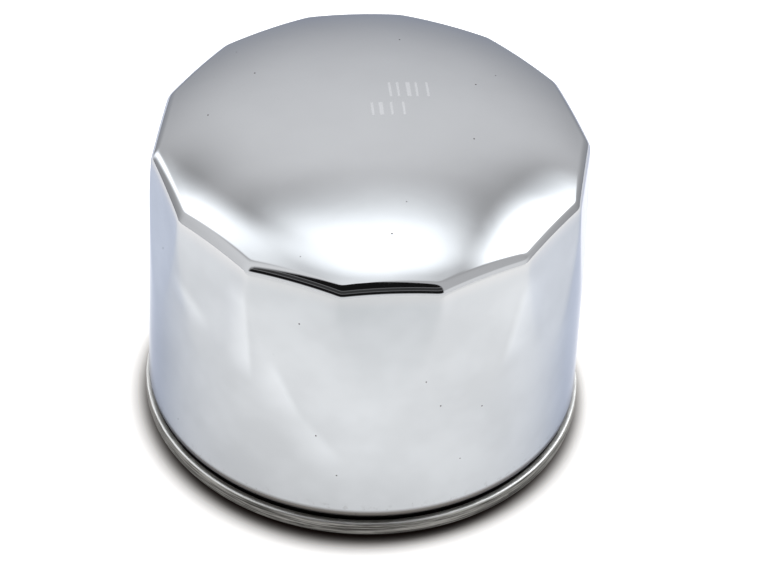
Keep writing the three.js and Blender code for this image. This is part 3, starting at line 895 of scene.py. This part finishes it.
def pleatGrids():
    # The outer and inner faces of the folded paper, joined along their upper and lower edges.
    # The pleats sway round the axis by wave * sin(2 pi z / height) * sin(waves * a).
    s = pleatShape
    low, high = boxOf("pleated_media")
    thin = s["fold"] / 2 - s["paper"]
    outer = rounded(zigzag(s["outer"], s["fold"] / 2, s["inner"] + s["paper"], thin),
                    s["outerBend"], s["bendSteps"])
    inner = rounded(zigzag(s["outer"] - s["paper"], thin, s["inner"], s["fold"] / 2),
                    s["innerBend"], s["bendSteps"])
    z = np.linspace(low[2], high[2], s["rows"])[:, None, None]
    bulge = np.sin(np.linspace(0, 2 * math.pi, s["rows"]))[:, None, None] * s["wave"]
    turn = np.linspace(0, s["waves"] * 2 * math.pi, len(outer))[None, :, None]
    sway = bulge * np.sin(turn) * np.concatenate([-outer[None, :, 1:], outer[None, :, :1]],
                                                 axis=-1) / s["outer"]
    faces = [np.concatenate([loop[None] + sway, z + 0 * turn], axis=-1)
             for loop in (outer, inner)]
    edges = [np.stack([faces[0][row], faces[1][row]]) for row in (0, -1)]
    return faces + edges


def tubeGrids():
    # rows of cells with a hole each, every other row turned by half a cell, and plain ends
    s = tubeShape
    low, high = boxOf("center_tube")
    height = (high[2] - low[2]) / (s["rows"] + 1)
    grids = []
    for row in range(s["rows"]):
        grids += sleeveCells(s, s["radius"], low[2] + (row + 1) * height, height / 2,
                             (s["hole"],) * 2, s["sheet"], (row + 1) % 2)
    angles = fullTurn(s["around"] * s["arcSteps"])
    inner, outer = s["radius"] - s["sheet"] / 2, s["radius"] + s["sheet"] / 2
    for start, end in ((low[2] + height / 2, low[2]), (high[2] - height / 2, high[2])):
        rim = np.array([[outer, start], [outer, end], [inner, end], [inner, start]])
        grids.append(turned(rim, angles))
    return grids


addTurned("lowerCup", lowerCupOutline(), 144, "tinplate", "element", "lower_end_cap")
addTurned("upperCup", upperCupOutline(), 144, "tinplate", "element", "upper_end_cap")
for name, node in (("lowerPotting", "lower_potting"), ("upperPotting", "upper_potting")):
    addTurned(name, ringFrom(node, **pottingShape), 144, "plastisol", "element", node)
addPiece("pleatedPaper", pleatGrids(), "paper", "element", "pleated_media")
addPiece("perforatedTube", tubeGrids(), "tinplate", "element", "center_tube")
print("filter element made")


cageShape = dict(inner=10.6, outer=11.1, flange=14.9, lip=0.8, around=4, window=(4.0, 3.0),
                 cornerPower=8.0, ease=0.1, bend=0.3, middle=41.8, bandHalf=4.0, arcSteps=16,
                 sideSteps=8)
seatShape = dict(inner=1.7, bevel=0.1, count=6, radius=1.2, circle=8.2, ease=0.08,
                 cellInner=6.3, cellOuter=9.9, arcSteps=10, sideSteps=6)
discShape = dict(inner=1.6, setback=0.15)
sealShape = dict(inner=1.6, setback=0.2)
rivetShape = dict(radius=1.3, foot=0.3, head=2.6, headRise=1.1, brim=0.15, seat=0.02,
                  domeSteps=9)
coilShape = dict(radius=5.8, wire=0.4, turns=4, pathSteps=220, wireSteps=12)


def cageGrids():
    # a drawn cup with an open foot: a holed band of windows between two turned ends
    s = cageShape
    low, high = boxOf("bypass_cage")
    sheet, bend = s["outer"] - s["inner"], s["bend"]
    radius = (s["outer"] + s["inner"]) / 2
    angles = fullTurn(s["around"] * s["arcSteps"]) - math.pi / s["around"]
    bandLow, bandHigh = s["middle"] - s["bandHalf"], s["middle"] + s["bandHalf"]
    under = high[2] - sheet
    foot = np.array([[s["outer"], bandLow], [s["outer"], low[2] + bend],
                     [s["outer"] - bend, low[2]], [s["inner"] - s["lip"], low[2]],
                     [s["inner"] - s["lip"], low[2] + sheet], [s["inner"], low[2] + sheet],
                     [s["inner"], bandLow]])
    head = np.array([[s["outer"], bandHigh], [s["outer"], under - bend],
                     [s["outer"] + bend, under], [s["flange"], under], [s["flange"], high[2]],
                     [s["inner"] + bend, high[2]], [s["inner"], high[2] - bend],
                     [s["inner"], bandHigh]])
    return [turned(foot, angles), turned(head, angles)] + sleeveCells(
        s, radius, s["middle"], s["bandHalf"], s["window"], sheet, power=s["cornerPower"])


def seatGrids():
    # a flat washer with six round holes: its bevelled bore, its bevelled rim, the holes' cells
    s = seatShape
    low, high = boxOf("bypass_spring_seat")
    half = math.pi / s["count"]
    angles = fullTurn(s["count"] * s["arcSteps"]) + math.pi / 2 - half
    rings = []
    for cell, edge in ((s["cellInner"], s["inner"]), (s["cellOuter"], high[0])):
        eased = edge + math.copysign(s["bevel"], cell - edge)
        rings.append(turned(np.array([
            [cell, low[2]], [eased, low[2]], [edge, low[2] + s["bevel"]],
            [edge, high[2] - s["bevel"]], [eased, high[2]], [cell, high[2]]]), angles))
    return rings + discCells(s, s["cellInner"], s["cellOuter"], low[2], high[2], s["ease"])


def rivetOutline():
    # from the foot up the shank and over a low head, at (head cos t, brim + rise sin t)
    s = rivetShape
    low, high = boxOf("bypass_stem")
    under, foot, brim = high[2] - s["headRise"], s["foot"], s["brim"]
    t = np.linspace(0, math.pi / 2, s["domeSteps"])
    shank = np.array([[0.0, low[2]], [s["radius"] - foot, low[2]], [s["radius"], low[2] + foot],
                      [s["radius"], under - s["seat"]], [s["head"] - brim, under - s["seat"]],
                      [s["head"], under + brim]])
    dome = np.stack([s["head"] * np.cos(t), under + brim + (s["headRise"] - brim) * np.sin(t)],
                    axis=-1)
    return np.vstack([shank, dome[1:]])


def coilGrid():
    # Round wire along a helix: the centre (R cos a, R sin a, z) climbs three quarters evenly and
    # one quarter as an S. The wire's circle lies in the outward and the upright direction, and
    # each end closes on the centre of the wire.
    s = coilShape
    low, high = boxOf("bypass_spring")
    t = np.linspace(0, 1, s["pathSteps"])
    climb = 0.75 * t + 0.25 * easeCurve(t)
    angle = 2 * math.pi * s["turns"] * t
    bottom, top = low[2] + s["wire"], high[2] - s["wire"]
    wire = np.full(len(t), s["wire"])
    wire[0] = wire[-1] = 0.0
    around = np.linspace(0, 2 * math.pi, s["wireSteps"] + 1)
    r = s["radius"] + wire[:, None] * np.cos(around)
    z = (bottom + (top - bottom) * climb)[:, None] + wire[:, None] * np.sin(around)
    return np.stack([r * np.cos(angle)[:, None], r * np.sin(angle)[:, None], z], axis=-1)


addPiece("bypassCage", cageGrids(), "tinplate", "element", "bypass_cage")
addPiece("springSeat", seatGrids(), "tinplate", "element", "bypass_spring_seat")
addTurned("bypassDisc", ringFrom("bypass_disc", **discShape), 96, "tinplate", "bypass_valve",
          "bypass_disc")
addTurned("bypassSeal", ringFrom("bypass_seal", **sealShape), 96, "nitrile", "bypass_valve",
          "bypass_seal")
addTurned("bypassRivet", rivetOutline(), 48, "spring_steel", "bypass_valve", "bypass_stem")
bypassCoil = addPiece("bypassCoil", [coilGrid()], "spring_steel", "element", "bypass_spring")
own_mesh(bypassCoil)
print("bypass valve made")


leafShape = dict(thickness=0.8, hole=6.8, ease=0.1, flatHalf=10.0, reach=24.0, tip=27.0,
                 curl=1.6, acrossSteps=12, alongSteps=14, armSteps=30, curlSteps=7)


def leafGrids():
    # A flat middle with a hole and two arms. An arm's centre line climbs as an S to its crest and
    # falls off by curl * u^2 to its tip; both faces lie half a sheet from it, square to it.
    s = leafShape
    low, high = boxOf("element_spring")
    half = s["thickness"] / 2
    width = high[1]
    base = low[2] + half
    rise = high[2] - low[2] - s["thickness"]
    border = loopRound((-s["flatHalf"], -width), (s["flatHalf"], width), s["alongSteps"],
                       s["acrossSteps"])
    cell = holedCell(border, (0, 0), (s["hole"],) * 2, s["thickness"], ease=s["ease"])
    middle = np.stack([cell[..., 0], cell[..., 1], base + cell[..., 2]], axis=-1)
    along = np.linspace(-s["flatHalf"], s["flatHalf"], s["alongSteps"] + 1)
    grids = [middle]
    for side in (-1, 1):
        grids.append(np.stack([np.stack([along, side * width + 0 * along, base + up + 0 * along],
                                        axis=-1) for up in (-half, half)]))
    t = np.linspace(0, 1, s["armSteps"])
    x = s["flatHalf"] + (s["reach"] - s["flatHalf"]) * t
    z = base + rise * easeCurve(t)
    u = np.linspace(0, 1, s["curlSteps"] + 1)[1:]
    x = np.concatenate([x, s["reach"] + (s["tip"] - s["reach"]) * u])
    z = np.concatenate([z, base + rise - s["curl"] * u ** 2])
    slopeX, slopeZ = np.gradient(x), np.gradient(z)
    length = np.hypot(slopeX, slopeZ)
    normalX, normalZ = -slopeZ / length, slopeX / length
    normalX[0], normalZ[0] = 0.0, 1.0
    across = np.linspace(-width, width, s["acrossSteps"] + 1)
    for side in (-1, 1):
        faces = []
        for up in (-half, half):
            px = side * (x + up * normalX)[:, None] + 0 * across
            pz = (z + up * normalZ)[:, None] + 0 * across
            faces.append(np.stack([px, across + 0 * px, pz], axis=-1))
        edges = [np.stack([faces[0][:, k], faces[1][:, k]]) for k in (0, -1)]
        tip = np.stack([faces[0][-1], faces[1][-1]])
        grids += faces + edges + [tip]
    return grids


leafSpring = addPiece("leafSpring", leafGrids(), "spring_steel", "housing", "element_spring")
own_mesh(leafSpring)
print("leaf spring made")


studio = dict(floorRadius=250.0, floorTint=(0.87, 0.835, 0.80), floorGlow=0.66, glowStart=38.5,
              # round the filter the floor is painted dark and its glow starts further out: a
              # painted contact shadow
              glowFull=43.0, paintedShadowTint=(0.045, 0.03, 0.025), paintedShadow=(36.9, 40.5),
              # towards the camera the floor is painted darker and glows less: painted shade
              nearEdge=(68.0, 116.0), nearShadeTint=(0.82, 0.805, 0.785), nearGlow=0.38,
              nearWall=1.25, roomTint=(0.98, 0.985, 1.0), lampTint=(0.93, 0.97, 1.0), page=1.05)
# Places on a map of the sky, in degrees from the zenith: u to the right, v away from the camera.
farWall = dict(horizon=0.809, rise=0.40, riseOver=(86, 44), overhead=-0.624,
               overheadOver=(44, 30), sides=-0.124, sidesOver=(20, 50), awayOver=(-0.55, 0.5))
lamps = [
    dict(at=(2.2, 17.65), half=(13.2, 15.4), turn=-22.9, soft=0.52, light=1.81),
    dict(at=(-45.0, 35.9), half=(7.6, 31.9), turn=-46.35, soft=0.95, light=2.69),
    dict(at=(40.4, 23.1), half=(17.1, 18.3), turn=-6.7, soft=0.43, light=4.5),
]
shades = [
    dict(at=(-33.2, 37.4), half=(16.6, 10.1), depth=0.51),
    dict(at=(27.1, 38.4), half=(17.65, 8.5), depth=0.55),
]
ceilings = [
    dict(left=(-52, -42), right=(46, 40), start=(2, 4), end=(52, 46), depth=0.99),
    dict(left=(-52, -42), right=(46, 40), start=(46, 52), end=(72, 66), depth=0.945),
    dict(left=(-52, -42), right=(46, 40), start=(66, 72), end=(94, 86), depth=0.99),
    dict(left=(40, 46), right=(100, 80), start=(2, 4), end=(84, 76), depth=0.34),
]


def lampMask(u, v, lamp):
    # a soft-edged superellipse
    turn = math.radians(lamp["turn"])
    du, dv = u - lamp["at"][0], v - lamp["at"][1]
    across = (du * math.cos(turn) - dv * math.sin(turn)) / lamp["half"][0]
    along = (du * math.sin(turn) + dv * math.cos(turn)) / lamp["half"][1]
    size = (abs(across) ** 3 + abs(along) ** 3) ** (1 / 3)
    return size.ease(1 + lamp["soft"], 1 - lamp["soft"])


def shadeMask(u, v, shade):
    # e^-(du^2 + dv^2)
    du = (u - shade["at"][0]) / shade["half"][0]
    dv = (v - shade["at"][1]) / shade["half"][1]
    return (-1 * (du * du + dv * dv)).exponent()


def makeWorld():
    # The room by direction: walls, soft lamps, two dim corners, and the dark part behind the
    # camera. A direction's place on the map is its angle from the zenith times its bearing.
    world = bpy.data.worlds.new("studioRoom")
    bpy.context.scene.world = world
    world.use_nodes = True
    tree = world.node_tree
    tree.nodes.clear()
    start = Wire(tree)
    x, y, z = start.add("TexCoord", {}, {}, output=0).split()
    zenith = z.math("ARCCOSINE", z) * (180 / math.pi)
    flat = (x * x + y * y).root().most(0.0001)
    u, v = zenith * x / flat, zenith * y / flat
    wall = farWall["horizon"] + zenith.ease(*farWall["riseOver"]) * farWall["rise"]
    wall = wall + zenith.ease(*farWall["overheadOver"]) * farWall["overhead"]
    wall = wall + abs(u) / 40 * zenith.ease(*farWall["sidesOver"]) * farWall["sides"]
    away = (y / flat).ease(*farWall["awayOver"])
    wall = wall * away + studio["nearWall"] * (1 - away)
    lamp = sum(lampMask(u, v, one) * one["light"] for one in lamps)
    shade = 1.0
    for one in shades:
        shade = shade * (1 - shadeMask(u, v, one) * one["depth"])
    bearing = u.math("ARCTAN2", u, -1 * v) * (180 / math.pi)
    for one in ceilings:
        across = bearing.ease(*one["left"]) * bearing.ease(*one["right"])
        reach = zenith.ease(*one["start"]) * zenith.ease(*one["end"])
        shade = shade * (1 - across * reach * one["depth"])
    room, glow, page = [
        start.add("Background", {}, {"Color": colour(tint), "Strength": strength})
        for tint, strength in ((studio["roomTint"], wall * shade),
                               (studio["lampTint"], lamp * shade), ((1, 1, 1), studio["page"]))]
    light = start.add("AddShader", {}, {0: room, 1: glow})
    seen = start.add("LightPath", {}, {}, output=0)
    mixed = start.add("MixShader", {}, {0: seen, 1: light, 2: page})
    start.add("OutputWorld", {}, {"Surface": mixed})


def makeFloor():
    # a round table: (r sin a, -r cos a, 0) for every radius r and angle a
    mesh = meshFrom("studioFloor", [turned(np.array([[0.0, 0.0], [studio["floorRadius"], 0.0]]),
                                           fullTurn(96))])
    material, place = newFinish("lightTable")
    radius = place.fromAxis()
    # the floor towards the camera gets a darker tint: painted shade
    near = (-1 * place.split()[1]).ease(*studio["nearEdge"])
    tint = near.blend(studio["floorTint"], studio["nearShadeTint"])
    # the floor painted dark round the filter: a painted contact shadow
    tint = radius.ease(*studio["paintedShadow"]).blend(studio["paintedShadowTint"], tint)
    # the glow is held back round the filter, a painted contact shadow, and cut towards the camera,
    # a painted shade
    glow = radius.ease(studio["glowStart"], studio["glowFull"]) * (1 - near * studio["nearGlow"])
    mesh.materials.append(finishWith(material, {
        "Base Color": tint, "Roughness": 0.9, "Specular IOR Level": 0.0,
        "Emission Color": glow.blend((0, 0, 0), (1, 1, 1)),
        "Emission Strength": studio["floorGlow"]}))
    floor = bpy.data.objects.new("studioFloor", mesh)
    bpy.context.scene.collection.objects.link(floor)


cameraShape = dict(place=(0.0, -0.5585, 0.5270), yaw=0.0045, pitch=0.7317, roll=0.0483,
                   lens=202.0)


def makeCamera():
    # looks down by `pitch`, turned by `yaw` about the vertical, then rolled about its own axis
    s = cameraShape
    cosYaw, sinYaw = math.cos(s["yaw"]), math.sin(s["yaw"])
    cosPitch, sinPitch = math.cos(s["pitch"]), math.sin(s["pitch"])
    ahead = np.array([sinYaw * cosPitch, cosYaw * cosPitch, -sinPitch])
    level = np.array([cosYaw, -sinYaw, 0.0])
    upright = np.cross(level, ahead)
    right = math.cos(s["roll"]) * level + math.sin(s["roll"]) * upright
    up = -math.sin(s["roll"]) * level + math.cos(s["roll"]) * upright
    camera = bpy.data.objects.new("camera", bpy.data.cameras.new("camera"))
    bpy.context.scene.collection.objects.link(camera)
    camera.data.lens = s["lens"]
    camera.data.sensor_width = 36.0
    camera.data.clip_start, camera.data.clip_end = 0.01, 20.0
    matrix = np.eye(4)
    matrix[:3, 0], matrix[:3, 1], matrix[:3, 2] = right, up, -ahead
    matrix[:3, 3] = s["place"]
    camera.matrix_world = Matrix(matrix.tolist())
    bpy.context.scene.camera = camera


makeWorld()
makeFloor()
makeCamera()
bpy.context.scene.view_settings.view_transform = "Standard"
print("studio ready")

# Imported mesh nodes get the finish of their slot.
for row in frame["record"]["subparts"]:
    node = bpy.data.objects.get(row["node"])
    if node and node.type == "MESH" and row["material_slot"] in finishes:
        node.data.materials.clear()
        node.data.materials.append(finishes[row["material_slot"]])
